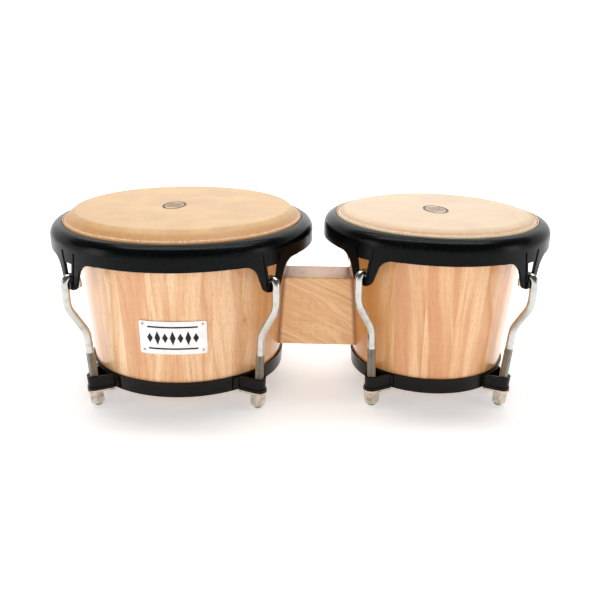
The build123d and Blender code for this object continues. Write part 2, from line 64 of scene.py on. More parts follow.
# ---------------------------------------------------------------- shader building
class Shader:
    """A node material built one node at a time. Sockets and plain values go in alike."""

    def __init__(self, name):
        self.material = bpy.data.materials.new(name)
        self.material.use_nodes = True
        self.tree = self.material.node_tree
        self.surface = self.tree.nodes["Principled BSDF"]
        self.position = self.node("ShaderNodeTexCoord").outputs["Object"]

    def plug(self, socket, value):
        if isinstance(value, bpy.types.NodeSocket):
            self.tree.links.new(value, socket)
        else:
            socket.default_value = value

    def node(self, kind, inputs=None, **settings):
        made = self.tree.nodes.new(kind)
        for key, value in settings.items():
            setattr(made, key, value)
        for key, value in (inputs or {}).items():
            self.plug(made.inputs[key], value)
        return made

    def math(self, operation, a, b=0.0, c=0.0):
        return self.node("ShaderNodeMath", {0: a, 1: b, 2: c}, operation=operation).outputs[0]

    def distance(self, a, b):
        """The root of a squared plus b squared."""
        return self.math("SQRT", self.math("MULTIPLY_ADD", a, a, self.math("MULTIPLY", b, b)))

    def split(self, vector):
        return self.node("ShaderNodeSeparateXYZ", {0: vector}).outputs

    def join(self, x, y, z):
        return self.node("ShaderNodeCombineXYZ", {0: x, 1: y, 2: z}).outputs[0]

    def scaled(self, vector, scale):
        return self.node("ShaderNodeVectorMath", {0: vector, 1: scale}, operation="MULTIPLY").outputs[0]

    def noise(self, vector, scale, detail=2.0, roughness=0.5, distortion=0.0):
        inputs = {"Vector": vector, "Scale": scale, "Detail": detail}
        inputs.update({"Roughness": roughness, "Distortion": distortion})
        return self.node("ShaderNodeTexNoise", inputs).outputs[0]

    def remap(self, value, low, high, to_low=0.0, to_high=1.0):
        """A smooth step from one value to another as the input goes from low to high."""
        inputs = {"Value": value, "From Min": low, "From Max": high, "To Min": to_low, "To Max": to_high}
        return self.node("ShaderNodeMapRange", inputs, interpolation_type="SMOOTHSTEP").outputs[0]

    def mix(self, factor, a, b):
        return self.node("ShaderNodeMix", {0: factor, 6: a, 7: b}, data_type="RGBA").outputs[2]

    def bump(self, height, distance, strength):
        inputs = {"Height": height, "Distance": distance, "Strength": strength}
        return self.node("ShaderNodeBump", inputs).outputs[0]

    def finish(self, **values):
        """Fill in the surface's sockets and hand back the material."""
        for key, value in values.items():
            self.plug(self.surface.inputs[key.replace("_", " ")], value)
        return self.material


# ---------------------------------------------------------------- materials
def wood_grain(shader, across, depth, along, light, warm, dark, wave):
    """Open-pored grain that wanders sideways as it runs, by up to half of wave.

    Returns its colour and a height that is low in the pores.
    """
    coarse = shader.scaled(shader.join(across, depth, along), (26, 14, 8))
    wander = shader.math("SUBTRACT", shader.noise(coarse, 1.0, 2, 0.5), 0.5)
    across = shader.math("MULTIPLY_ADD", wander, wave, across)
    grain = shader.join(across, depth, along)
    broad = shader.noise(shader.scaled(grain, (78, 20, 4)), 1.0, 2, 0.5, 0.4)
    streaks = shader.noise(shader.scaled(grain, (230, 60, 9)), 1.0, 3, 0.62, 0.3)
    fibres = shader.noise(shader.scaled(grain, (1100, 400, 34)), 1.0, 3, 0.66)
    pores = shader.noise(shader.scaled(grain, (2300, 900, 200)), 1.0, 1, 0.5)
    pores = shader.remap(pores, 0.56, 0.70)
    colour = shader.mix(shader.remap(broad, 0.36, 0.62), light, warm)
    colour = shader.mix(shader.remap(streaks, 0.48, 0.74, 0.0, 0.50), colour, dark)
    colour = shader.mix(shader.remap(streaks, 0.42, 0.26, 0.0, 0.28), colour, light)
    colour = shader.mix(shader.remap(fibres, 0.44, 0.76, 0.0, 0.34), colour, dark)
    colour = shader.mix(shader.math("MULTIPLY", pores, 0.55), colour, dark)
    return colour, shader.math("SUBTRACT", 1.0, pores)


def shell_wood(name, drum, staves, seed):
    """Glued staves under a clear gloss varnish outside, bare wood inside."""
    shader = Shader(name)
    x, y, z = shader.split(shader.position)
    x = shader.math("SUBTRACT", x, drum.x)
    angle = shader.math("ARCTAN2", y, x)
    radius = shader.distance(x, y)
    stave = shader.math("MULTIPLY_ADD", angle, staves / (2 * pi), staves + seed * 0.37)
    within = shader.math("FRACT", stave)
    number = shader.math("ADD", shader.math("FLOOR", stave), seed)
    chance = shader.node("ShaderNodeTexWhiteNoise", {"W": number}, noise_dimensions="1D")
    tone, shift, twist = shader.split(chance.outputs["Color"])
    width = 2 * pi * drum.shell_top_r / staves
    slant = shader.math("MULTIPLY", shader.math("SUBTRACT", shift, 0.5), 0.22)
    across = shader.math("MULTIPLY_ADD", within, width, shader.math("MULTIPLY", shift, 0.9))
    across = shader.math("MULTIPLY_ADD", z, slant, across)
    along = shader.math("MULTIPLY_ADD", twist, 3.0, z)
    light = shader.mix(tone, drum.looks.pale_wood, srgb(236, 182, 128))
    warm = shader.mix(shift, drum.looks.warm_wood, srgb(218, 152, 98))
    dark = srgb(196, 124, 68)
    wave = drum.looks.grain_wave
    colour, pores = wood_grain(shader, across, radius, along, light, warm, dark, wave)
    # painted shade: an amber darkening of the shell's side that faces the block
    towards_block = shader.math("MULTIPLY", shader.math("COSINE", angle), drum.block_side)
    shade_towards_block = shader.remap(towards_block, 0.35, 0.90, 0.0, drum.looks.shade_towards_block)
    colour = shader.mix(shade_towards_block, colour, srgb(206, 138, 62))
    to_seam = shader.math("MINIMUM", within, shader.math("SUBTRACT", 1.0, within))
    to_seam = shader.math("MULTIPLY", to_seam, width)
    glue_line = shader.remap(to_seam, 0.0, 0.6 * MM, 0.40, 0.0)
    colour = shader.mix(glue_line, colour, srgb(204, 130, 66))
    wall = shader.math("MULTIPLY_ADD", z, drum.slope, drum.shell_r(0.0))
    inside = shader.remap(shader.math("SUBTRACT", wall, radius), 6 * MM, 9 * MM)
    colour = shader.mix(shader.math("MULTIPLY", inside, 0.45), colour, srgb(226, 196, 156))
    depth = shader.math("MULTIPLY_ADD", inside, 0.00010, 0.00002)
    return shader.finish(
        Base_Color=colour,
        Roughness=shader.remap(inside, 0.0, 1.0, 0.38, 0.75),
        Coat_Weight=shader.math("SUBTRACT", 1.0, inside),
        Coat_Roughness=0.045,
        Normal=shader.bump(pores, depth, 0.6),
    )


def block_wood(name):
    """The centre block: figured grain along the pair, and painted shade where it meets the shells."""
    shader = Shader(name)
    x, y, z = shader.split(shader.position)
    across = shader.math("MULTIPLY_ADD", x, 0.45, z)
    colour, pores = wood_grain(
        shader, across, y, x, srgb(250, 208, 154), srgb(238, 185, 128), srgb(200, 129, 68), 0.080
    )
    for drum in DRUMS:
        radius = shader.distance(shader.math("SUBTRACT", x, drum.x), y)
        wall = shader.math("MULTIPLY_ADD", z, drum.slope, drum.shell_r(0.0))
        gap = shader.math("SUBTRACT", radius, wall)
        # painted shade: the block darkens where it meets each shell
        contact_shade = shader.remap(gap, 4.0 * MM, 0.8 * MM, 0.0, 0.80)
        colour = shader.mix(contact_shade, colour, srgb(150, 84, 30))
    return shader.finish(
        Base_Color=colour,
        Roughness=0.42,
        Coat_Weight=0.35,
        Coat_Roughness=0.16,
        Normal=shader.bump(pores, 0.00003, 0.6),
    )


def hide(name, drum):
    """Rawhide: cloudy colour, fine pores, and a mottled band of painted shade with a scuffed line below
    the shoulder.
    """
    looks = drum.looks
    shader = Shader(name)
    x, y, z = shader.split(shader.position)
    x = shader.math("SUBTRACT", x, drum.x)
    radius = shader.distance(x, y)
    clouds = shader.noise(shader.position, 24.0, 5, 0.62, 0.6)
    veins = shader.noise(shader.scaled(shader.position, (14, 60, 14)), 1.0, 4, 0.6, 0.8)
    freckles = shader.noise(shader.position, 520.0, 3, 0.65)
    pores = shader.noise(shader.position, 2600.0, 2, 0.5)
    colour = shader.mix(shader.remap(clouds, 0.30, 0.72), looks.pale_hide, looks.dark_hide)
    colour = shader.mix(shader.remap(veins, 0.50, 0.70, 0.0, 0.35), colour, looks.pale_hide)
    colour = shader.mix(shader.remap(freckles, 0.50, 0.72, 0.0, 0.16), colour, srgb(206, 158, 110))
    above_rim = shader.math("SUBTRACT", z, drum.rim_top_z)
    ragged = shader.noise(shader.position, 150.0, 3, 0.7)
    ragged = shader.math("MULTIPLY_ADD", ragged, 1.0 * MM, above_rim)
    # painted shade: the hide's side below the shoulder is darkened, mottled by the blotches
    low = shader.remap(ragged, looks.shaded_band_height, looks.shaded_band_height * 0.55)
    blotches = shader.remap(shader.noise(shader.position, 210.0, 3, 0.65), 0.32, 0.66, 0.72, 1.0)
    colour = shader.mix(shader.math("MULTIPLY", low, blotches), colour, looks.shaded_band_colour)
    line = shader.math("ABSOLUTE", shader.math("SUBTRACT", ragged, looks.scuff_height))
    flecks = shader.remap(shader.noise(shader.position, 1100.0, 2, 0.7), 0.40, 0.58)
    scuff = shader.math("MULTIPLY", shader.remap(line, 0.8 * MM, 0.2 * MM), flecks)
    colour = shader.mix(shader.math("MULTIPLY", scuff, 0.75), colour, srgb(250, 238, 220))
    tuck = shader.remap(shader.math("SUBTRACT", radius, drum.collar_r), -0.05 * MM, 0.1 * MM)
    colour = shader.mix(tuck, colour, looks.tuck_colour)
    height = shader.math("ADD", pores, shader.math("MULTIPLY", freckles, 0.6))
    return shader.finish(
        Base_Color=colour,
        Roughness=shader.remap(clouds, 0.3, 0.7, 0.50, 0.40),
        Subsurface_Weight=0.12,
        Subsurface_Radius=(0.004, 0.002, 0.001),
        Coat_Weight=looks.hide_gloss,
        Coat_Roughness=0.22,
        Normal=shader.bump(height, 0.00005, 0.5),
    )


def powder_coat(name, low, high, shine):
    """Satin black powder coat with a faint orange peel and a few pale specks."""
    shader = Shader(name)
    peel = shader.noise(shader.position, 900.0, 2, 0.5)
    patches = shader.noise(shader.position, 35.0, 3, 0.5)
    specks = shader.remap(shader.noise(shader.position, 1400.0, 1, 0.5), 0.71, 0.74)
    colour = shader.mix(patches, low, high)
    return shader.finish(
        Base_Color=shader.mix(specks, colour, (0.045, 0.050, 0.050, 1)),
        Roughness=shader.remap(patches, 0.3, 0.7, 0.20, 0.26),
        Specular_IOR_Level=shine,
        Normal=shader.bump(peel, 0.00005, 0.35),
    )


def plated(name, colour, stain, low, high, brushing):
    """Plated metal: smooth with faint cloudiness and fine rubbing marks."""
    shader = Shader(name)
    clouds = shader.noise(shader.position, 140.0, 3, 0.6)
    marks = shader.noise(shader.scaled(shader.position, (3000, 3000, 260)), 1.0, 2, 0.6)
    return shader.finish(
        Base_Color=shader.mix(shader.remap(clouds, 0.45, 0.75), colour, stain),
        Metallic=1.0,
        Roughness=shader.remap(marks, 0.3, 0.7, low, high),
        Normal=shader.bump(marks, brushing, 0.5),
    )


def ink(name, colour, rubbed, wear):
    """A thin print, rubbed through a little to what is under it."""
    shader = Shader(name)
    worn = shader.remap(shader.noise(shader.position, 700.0, 3, 0.7), 0.50, 0.72, 0.0, wear)
    return shader.finish(
        Base_Color=shader.mix(worn, colour, rubbed),
        Roughness=0.5,
        Specular_IOR_Level=0.3,
        Normal=shader.bump(worn, 0.00002, 0.4),
    )


# ---------------------------------------------------------------- drum measures
RIM_WIDTH = 11.4 * MM
RING_THICKNESS = 2.0 * MM
COLLAR_GAP = 0.8 * MM


@dataclass
class Looks:
    """The colours and marks that differ from one drum to the other."""

    pale_wood: tuple
    warm_wood: tuple
    grain_wave: float  # how far the shell's grain wanders
    shade_towards_block: float  # strength of the painted shade, an amber tint, on the shell's side towards the block
    pale_hide: tuple
    dark_hide: tuple
    hide_gloss: float
    shaded_band_colour: tuple  # of the mottled band of painted shade round the edge of the head
    shaded_band_height: float  # of that band's upper edge, above the rim
    scuff_height: float  # of the pale scuffed line, above the rim
    tuck_colour: tuple  # of the hide's tucked-up end, between the head and the rim


class Drum:
    """One drum's measures, in metres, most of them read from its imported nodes."""

    def __init__(self, name, block_side, shell_top_r, slope, rod_foot_r, ear_angles, lug_angles, looks):
        self.name = name
        self.block_side = block_side
        self.body = f"{name}_tension_set"
        rim_low, rim_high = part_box(f"{name}_rim")
        shell_low, shell_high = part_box(f"{name}_shell")
        self.x = (rim_low.x + rim_high.x) / 2
        self.rim_outer_r = (rim_high.x - rim_low.x) / 2
        self.rim_top_z = rim_high.z
        self.collar_r = self.rim_outer_r - RIM_WIDTH - COLLAR_GAP
        self.crown_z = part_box(f"{name}_head_skin")[1].z
        self.shell_bottom_z = shell_low.z
        self.shell_top_r = shell_top_r
        self.slope = slope
        self.shell_bottom_r = shell_top_r - slope * (shell_high.z - shell_low.z)
        self.ring_bottom_z = shell_low.z - RING_THICKNESS
        self.rod_foot_r = rod_foot_r
        self.ear_angles = ear_angles
        self.lug_angles = lug_angles
        self.looks = looks

    def shell_r(self, z):
        return self.shell_bottom_r + self.slope * (z - self.shell_bottom_z)

    def rod_r(self, z):
        """Distance from the axis to the straight part of a rod."""
        return self.rod_foot_r + self.slope * (z - self.ring_bottom_z)

    def at(self, angle, r, z):
        return Vector((self.x + r * cos(radians(angle)), r * sin(radians(angle)), z))


HEMBRA = Drum(
    name="hembra",
    block_side=1,
    shell_top_r=101 * MM,
    slope=10.5 / 150.5,
    rod_foot_r=105.2 * MM,
    ear_angles=(46.7, 136.7, 226.7, 316.7),
    lug_angles=(45.5, 135.5, 225.5, 315.5),
    looks=Looks(
        pale_wood=srgb(250, 212, 166),
        warm_wood=srgb(236, 184, 132),
        grain_wave=30 * MM,
        shade_towards_block=0.40,
        pale_hide=srgb(219, 179, 126),
        dark_hide=srgb(201, 157, 102),
        hide_gloss=0.08,
        shaded_band_colour=srgb(199, 143, 86),
        shaded_band_height=8.3 * MM,
        scuff_height=2.0 * MM,
        tuck_colour=srgb(226, 166, 96),
    ),
)
MACHO = Drum(
    name="macho",
    block_side=-1,
    shell_top_r=83 * MM,
    slope=11.7 / 150.5,
    rod_foot_r=85.5 * MM,
    ear_angles=(46.7, 133.3, 226.7, 313.3),
    lug_angles=(48, 138, 228, 318),
    looks=Looks(
        pale_wood=srgb(246, 204, 152),
        warm_wood=srgb(230, 170, 112),
        grain_wave=14 * MM,
        shade_towards_block=0.85,
        pale_hide=srgb(219, 189, 150),
        dark_hide=srgb(205, 170, 127),
        hide_gloss=0.32,
        shaded_band_colour=srgb(192, 143, 98),
        shaded_band_height=4.3 * MM,
        scuff_height=1.6 * MM,
        tuck_colour=srgb(246, 216, 168),
    ),
)
DRUMS = (HEMBRA, MACHO)


# ---------------------------------------------------------------- mesh building
SHARP_EDGE = 40  # degrees


def clamped(value):
    return max(0.0, min(1.0, value))


def rounded_path(points, radii, step=8.0):
    """A polyline whose inner corners are arcs, one vertex every step degrees or less."""
    points = [Vector(p) for p in points]
    path = [points[0]]
    for before, corner, after, radius in zip(points, points[1:], points[2:], radii):
        back = (before - corner).normalized()
        ahead = (after - corner).normalized()
        half = back.angle(ahead) / 2
        reach = radius / tan(half)
        centre = corner + (back + ahead).normalized() * (radius / sin(half))
        start = corner + back * reach - centre
        end = corner + ahead * reach - centre
        turn = pi - 2 * half
        count = max(2, int(turn / radians(step)) + 1)
        for i in range(count + 1):
            t = i / count
            path.append(centre + (start * sin((1 - t) * turn) + end * sin(t * turn)) / sin(turn))
    path.append(points[-1])
    return path


def divided(path, longest):
    """The same path with no step longer than this."""
    out = [path[0]]
    for a, b in zip(path, path[1:]):
        count = max(1, ceil((b - a).length / longest))
        for i in range(1, count + 1):
            out.append(a.lerp(b, i / count))
    return out


def path_normals(path):
    """The left-hand normal at each vertex of a 2-D path."""
    normals = []
    for i, point in enumerate(path):
        ahead = path[min(i + 1, len(path) - 1)] - path[max(i - 1, 0)]
        ahead.normalize()
        normals.append(Vector((-ahead.y, ahead.x)))
    return normals


def finished(name, made, materials, body=None):
    """Turn a bmesh into a piece with its materials and, when a body is given, its body."""
    bmesh.ops.recalc_face_normals(made, faces=made.faces)
    mesh = bpy.data.meshes.new(name)
    made.to_mesh(mesh)
    made.free()
    piece = bpy.data.objects.new(name, mesh)
    bpy.context.scene.collection.objects.link(piece)
    for material in materials:
        mesh.materials.append(material)
    mesh.shade_smooth()
    mesh.set_sharp_from_angle(angle=radians(SHARP_EDGE))
    if body:
        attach(piece, body)
    return piece


# ---------------------------------------------------------------- heads
HALF_HIDE = 0.9 * MM
HALF_FOLDED_HIDE = 0.55 * MM  # where it is stretched round the flesh hoop
HALF_HIDE_AT_EDGE = 0.30 * MM
FOLDED_LENGTH = 26 * MM
THINNING_LENGTH = 8 * MM
SHOULDER_INSET = 2.3 * MM  # of the shoulder's corner, from the shell's outside
SHOULDER_FILLET = 3.6 * MM
BEND_FILLET = 3.0 * MM
NECK_FILLET = 2.0 * MM
HOOP_OUTSET = 3.4 * MM  # of the hoop's middle, from the head's collar
HOOP_DEPTH = 7.4 * MM
WRAP_R = 2.55 * MM  # of the hide's middle, round the hoop
WRAP_START, WRAP_END, WRAP_STEP = 190, 490, 12  # degrees round the hoop
TUCK_OUTSET = 0.42 * MM  # of the tucked-up end, from the head's collar
TUCK_RISE = 0.9 * MM  # of that end, above the rim
HIDE_STEP = 4.0 * MM
HIDE_AROUND = 288
EDGE_VERTICES = 5


def hide_middle(drum):
    """The middle of the hide in section: flat crown, shoulder, neck, then round the hoop and tucked up."""
    top = drum.rim_top_z
    crown = drum.crown_z - HALF_HIDE
    neck_r = drum.collar_r - 0.75 * MM
    neck_top = min(top + 0.7 * MM, drum.crown_z - 3.3 * MM) - 0.5 * MM
    hoop_r = drum.collar_r + HOOP_OUTSET
    hoop_z = top - HOOP_DEPTH
    path = rounded_path(
        (
            (0.0, crown),
            (drum.shell_top_r - SHOULDER_INSET, crown),
            (neck_r, neck_top),
            (neck_r, top - 4.0 * MM),
            (hoop_r - WRAP_R, hoop_z),
        ),
        (SHOULDER_FILLET, BEND_FILLET, NECK_FILLET),
    )
    for degrees in range(WRAP_START, WRAP_END + 1, WRAP_STEP):
        a = radians(degrees)
        path.append(Vector((hoop_r + WRAP_R * cos(a), hoop_z + WRAP_R * sin(a))))
    tuck_r = drum.collar_r + TUCK_OUTSET
    path.append(Vector((tuck_r + 0.25 * MM, top - 3.6 * MM)))
    path += [Vector((tuck_r, top + rise)) for rise in (-2.6 * MM, -0.8 * MM, TUCK_RISE)]
    return divided(path, HIDE_STEP)


def make_skin(drum, material):
    """The hide, as a closed sheet turned round the drum's axis."""
    path = hide_middle(drum)
    normals = path_normals(path)
    count = len(path)
    lengths = [0.0]
    for a, b in zip(path, path[1:]):
        lengths.append(lengths[-1] + (b - a).length)
    halves = []
    for along in lengths:
        folded = clamped((along - (lengths[-1] - FOLDED_LENGTH)) / THINNING_LENGTH)
        halves.append(HALF_HIDE - (HALF_HIDE - HALF_FOLDED_HIDE) * folded)
    halves[-EDGE_VERTICES:] = [HALF_HIDE_AT_EDGE] * EDGE_VERTICES
    outer = [p + n * h for p, n, h in zip(path, normals, halves)]
    inner = [p - n * h for p, n, h in zip(path, normals, halves)]
    section = outer + inner[::-1]
    made = bmesh.new()
    rings = []
    for k in range(HIDE_AROUND):
        a = 2 * pi * k / HIDE_AROUND
        ring = [hide_vertex(made, drum, p, a, i in (count - 1, count)) for i, p in enumerate(section)]
        rings.append(ring)
    for near, far in zip(rings, rings[1:] + rings[:1]):
        for i in range(len(section) - 1):
            made.faces.new((near[i], near[i + 1], far[i + 1], far[i]))
    bmesh.ops.remove_doubles(made, verts=made.verts, dist=1e-6)
    piece = finished(f"{drum.name}_hide", made, [material])
    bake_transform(piece)
    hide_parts(f"{drum.name}_head_skin")
    return piece


def hide_swell(drum, x, y):
    """How far the hide's free surface stands above or below a true plane, at a place on the crown."""
    flat = Vector((x, y, 0))
    outwards = clamped(flat.length / (0.5 * drum.shell_top_r) - 1.0)
    return 0.16 * MM * noise.noise(flat * 22) + 0.10 * MM * outwards * noise.noise(flat * 90)


def hide_vertex(made, drum, point, angle, at_edge):
    """One vertex of the hide, moved a little by the unevenness of the real thing."""
    r, z = point
    x, y = r * cos(angle), r * sin(angle)
    free = clamped((z - drum.rim_top_z) / (3 * MM))
    z += free * hide_swell(drum, x, y)
    if at_edge:
        z += 0.35 * MM * noise.noise(Vector((cos(angle) * 9, sin(angle) * 9, drum.x * 50)))
    return made.verts.new((drum.x + x, y, z))


# ---------------------------------------------------------------- hooks
ROD_R = 3.55 * MM
THREAD_CREST_R = 3.85 * MM
THREAD_DEPTH = 0.60 * MM
THREAD_PITCH = 1.25 * MM
THREAD_TOP_DEPTH = 109.0 * MM
HOOK_BEND_R = 5.75 * MM
HOOK_BEND_DEPTH = 41.8 * MM
HOOK_TIP_LENGTH = 4.5 * MM
CRANK_TOP_DEPTH = 62.0 * MM
CRANK_BOTTOM_DEPTH = 90.0 * MM
CRANK_FILLET = 22.0 * MM
HALF_SKIRT = 1.2 * MM
ROD_SIDES = 40
STEPS_PER_THREAD = 8
BEND_STEP = 9  # degrees
CRANK_STEP = 4.0  # degrees
ROD_STEP = 3.0 * MM
TIP_ROUNDING = 0.5 * MM
THREAD_LEAD_IN = 1.0 * MM
THREAD_RUNOUT = 1.5 * MM


def make_hook(drum, number, chrome, thread):
    """A hook bent from round rod: threaded below, cranked, and bent over at the top."""
    top = drum.rim_top_z
    ear_angle = drum.ear_angles[number - 1]
    lug_angle = drum.lug_angles[number - 1]
    bend_z = top - HOOK_BEND_DEPTH
    bend_r = drum.rim_outer_r - HALF_SKIRT
    foot = drum.at(lug_angle, drum.rod_r(0.0), 0.0)
    corner = drum.at(lug_angle, drum.rod_r(top - CRANK_BOTTOM_DEPTH), top - CRANK_BOTTOM_DEPTH)
    elbow = drum.at(ear_angle, bend_r + HOOK_BEND_R, top - CRANK_TOP_DEPTH)
    spring = drum.at(ear_angle, bend_r + HOOK_BEND_R, bend_z)
    up = (corner - foot).normalized()
    thread_length = (top - THREAD_TOP_DEPTH) / up.z
    step = THREAD_PITCH / STEPS_PER_THREAD
    count = int(thread_length / step)
    path = [foot + up * step * i for i in range(count + 1)]
    crank = rounded_path((path[-1], corner, elbow, spring), (CRANK_FILLET, CRANK_FILLET), CRANK_STEP)
    path += divided(crank, ROD_STEP)[1:]
    for degrees in range(BEND_STEP, 181, BEND_STEP):
        a = radians(degrees)
        path.append(drum.at(ear_angle, bend_r + HOOK_BEND_R * cos(a), bend_z + HOOK_BEND_R * sin(a)))
    path.append(drum.at(ear_angle, bend_r - HOOK_BEND_R, bend_z - HOOK_TIP_LENGTH + TIP_ROUNDING))
    path.append(drum.at(ear_angle, bend_r - HOOK_BEND_R, bend_z - HOOK_TIP_LENGTH))
    made = bmesh.new()
    loops = []
    across = drum.at(lug_angle, 1.0, 0.0) - drum.at(lug_angle, 0.0, 0.0)
    for i, centre in enumerate(path):
        ahead = (path[min(i + 1, len(path) - 1)] - path[max(i - 1, 0)]).normalized()
        across = (across - ahead * across.dot(ahead)).normalized()
        sideways = ahead.cross(across)
        loop = []
        for k in range(ROD_SIDES):
            turn = 2 * pi * k / ROD_SIDES
            radius = ROD_R if i > count else thread_radius(step * i, turn, thread_length)
            if i == len(path) - 1:
                radius = ROD_R - TIP_ROUNDING
            place = centre + (across * cos(turn) + sideways * sin(turn)) * radius
            place.z = max(place.z, 0.0)
            loop.append(made.verts.new(place))
        loops.append(loop)
    for i, (near, far) in enumerate(zip(loops, loops[1:])):
        for k in range(ROD_SIDES):
            following = (k + 1) % ROD_SIDES
            face = made.faces.new((near[k], near[following], far[following], far[k]))
            face.material_index = 1 if i < count else 0
    made.faces.new(loops[0]).material_index = 1
    made.faces.new(loops[-1])
    name = f"{drum.name}_hook_{number}"
    piece = finished(f"{name}_rod", made, [chrome, thread], drum.body)
    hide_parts(name)
    return piece


def thread_radius(along, turn, thread_length):
    """The rod's radius at one point of its thread, which tapers in at both ends."""
    phase = (along / THREAD_PITCH + turn / (2 * pi)) % 1.0
    groove = min(1.0, 1.35 * abs(2 * phase - 1))
    radius = THREAD_CREST_R - THREAD_DEPTH * (1 - groove)
    cut_back = 1 - clamped(along / THREAD_LEAD_IN)
    radius = min(radius, THREAD_CREST_R - 0.8 * MM * cut_back)
    return ROD_R + (radius - ROD_R) * clamped((thread_length - along) / THREAD_RUNOUT)


# ---------------------------------------------------------------- prints
PRINT_LIFT = 0.01 * MM
PRINT_THICKNESS = 0.06 * MM
HEAD_STROKE = 2.6 * MM
BADGE_STROKE = 1.5 * MM
OVAL_STEPS = 48
LINE_STEPS = 16
BADGE_ANGLE = -88
BADGE_WALL_GAP = 0.8 * MM  # from the shell to the badge's face
LOZENGE_PITCH = 6.6 * MM
LOZENGE_HALF_WIDTH = 2.5 * MM
LOZENGE_HALF_HEIGHTS = (4.6 * MM, 6.8 * MM)
BADGE_LINE_HALF_LENGTH = 21.5 * MM
BADGE_LINE_HEIGHT = 10.2 * MM


def slab(made, outline, place):
    """A thin closed slab with a 2-D outline, put in 3-D by place(u, v, lift)."""
    low = [made.verts.new(place(u, v, PRINT_LIFT)) for u, v in outline]
    high = [made.verts.new(place(u, v, PRINT_THICKNESS)) for u, v in outline]
    made.faces.new(high)
    made.faces.new(low[::-1])
    for i in range(len(outline)):
        j = (i + 1) % len(outline)
        made.faces.new((low[i], low[j], high[j], high[i]))


def band(made, points, width, place):
    """A stroke along a 2-D polyline, as a thin closed strip put in 3-D by place(u, v, lift)."""
    path = [Vector(p) for p in points]
    normals = path_normals(path)
    left = [p + n * width / 2 for p, n in zip(path, normals)]
    right = [p - n * width / 2 for p, n in zip(path, normals)]
    low_left, low_right, high_left, high_right = (
        [made.verts.new(place(q.x, q.y, lift)) for q in side]
        for lift in (PRINT_LIFT, PRINT_THICKNESS)
        for side in (left, right)
    )
    for i in range(len(path) - 1):
        made.faces.new((high_left[i], high_left[i + 1], high_right[i + 1], high_right[i]))
        made.faces.new((low_right[i], low_right[i + 1], low_left[i + 1], low_left[i]))
        made.faces.new((low_left[i], low_left[i + 1], high_left[i + 1], high_left[i]))
        made.faces.new((high_right[i], high_right[i + 1], low_right[i + 1], low_right[i]))
    for i in (0, len(path) - 1):
        made.faces.new((low_left[i], high_left[i], high_right[i], low_right[i]))


def oval(half_width, half_height):
    angles = [2 * pi * i / OVAL_STEPS for i in range(OVAL_STEPS + 1)]
    return [(half_width * cos(a), half_height * sin(a)) for a in angles]


def level_line(half_length, height):
    return [(half_length * (2 * i / LINE_STEPS - 1), height) for i in range(LINE_STEPS + 1)]


def make_head_print(drum, centre, half_width, half_height, turn, material):
    """A plain mark on the hide: an oval ring round four bars."""

    def place(u, v, lift):
        a = radians(turn)
        x = centre[0] + u * cos(a) - v * sin(a)
        y = centre[1] + u * sin(a) + v * cos(a)
        return Vector((drum.x + x, y, drum.crown_z + lift + hide_swell(drum, x, y)))

    made = bmesh.new()
    band(made, oval(half_width, half_height), HEAD_STROKE, place)
    for height in (-0.45, -0.15, 0.15, 0.45):
        reach = 0.74 * half_width * (1 - height * height) ** 0.5
        band(made, level_line(reach, height * half_height), HEAD_STROKE, place)
    return finished(f"{drum.name}_head_print", made, [material], "drum_body")


def make_badge_print(material):
    """A plain pattern on the badge: a row of lozenges between two ruled lines."""
    drum = HEMBRA
    low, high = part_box("badge_plate")
    middle = (low.z + high.z) / 2

    def place(u, v, lift):
        z = middle + v
        r = drum.shell_r(z) + BADGE_WALL_GAP + lift
        a = radians(BADGE_ANGLE) + u / drum.shell_r(middle)
        return Vector((drum.x + r * cos(a), r * sin(a), z))

    made = bmesh.new()
    half = LOZENGE_HALF_WIDTH
    for i in range(-3, 4):
        x = LOZENGE_PITCH * i
        tall = LOZENGE_HALF_HEIGHTS[(i + 1) % 2]
        slab(made, [(x - half, 0), (x, -tall), (x + half, 0), (x, tall)], place)
    for height in (-BADGE_LINE_HEIGHT, BADGE_LINE_HEIGHT):
        band(made, level_line(BADGE_LINE_HALF_LENGTH, height), BADGE_STROKE, place)
    return finished("badge_print", made, [material], "drum_body")


# ---------------------------------------------------------------- stage
PAPER_GLOW = 0.40  # keeps the paper white where the lights fall off
FLOOR_HALF_WIDTH = 20.0
FLOOR_FRONT_Y = -20.0
FLOOR_BACK_Y = 1.6
BACKDROP_BEND_R = 1.2
BACKDROP_TOP_Z = 3.5
ROOM_GLOW_BELOW, ROOM_GLOW_ABOVE = 1.00, 0.10
ROOM_FADE_START, ROOM_FADE_END = 0.04, 0.30  # as the sine of the height above the horizon
STAGE_MIDDLE = (0, 0, 0.1)
RIM_MIDDLE = (0, 0, 0.15)


def make_stage():
    """A pale floor that curves up into a backdrop."""
    made = bmesh.new()
    bend = BACKDROP_BEND_R
    profile = [(FLOOR_FRONT_Y, 0.0), (FLOOR_BACK_Y, 0.0)]
    for degrees in range(5, 91, 5):
        a = radians(degrees)
        profile.append((FLOOR_BACK_Y + bend * sin(a), bend - bend * cos(a)))
    profile.append((FLOOR_BACK_Y + bend, BACKDROP_TOP_Z))
    rows = []
    for y, z in profile:
        rows.append([made.verts.new((side * FLOOR_HALF_WIDTH, y, z)) for side in (-1, 1)])
    for near, far in zip(rows, rows[1:]):
        made.faces.new((near[0], near[1], far[1], far[0]))
    mesh = bpy.data.meshes.new("backdrop")
    made.to_mesh(mesh)
    made.free()
    backdrop = bpy.data.objects.new("backdrop", mesh)
    bpy.context.scene.collection.objects.link(backdrop)
    mesh.shade_smooth()
    shader = Shader("paper")
    tooth = shader.noise(shader.position, 600.0, 3, 0.6)
    white = shader.mix(tooth, (0.93, 0.93, 0.93, 1), (0.96, 0.96, 0.955, 1))
    mesh.materials.append(
        shader.finish(
            Base_Color=white,
            Roughness=0.9,
            Specular_IOR_Level=0.1,
            Emission_Color=white,
            Emission_Strength=PAPER_GLOW,
        )
    )


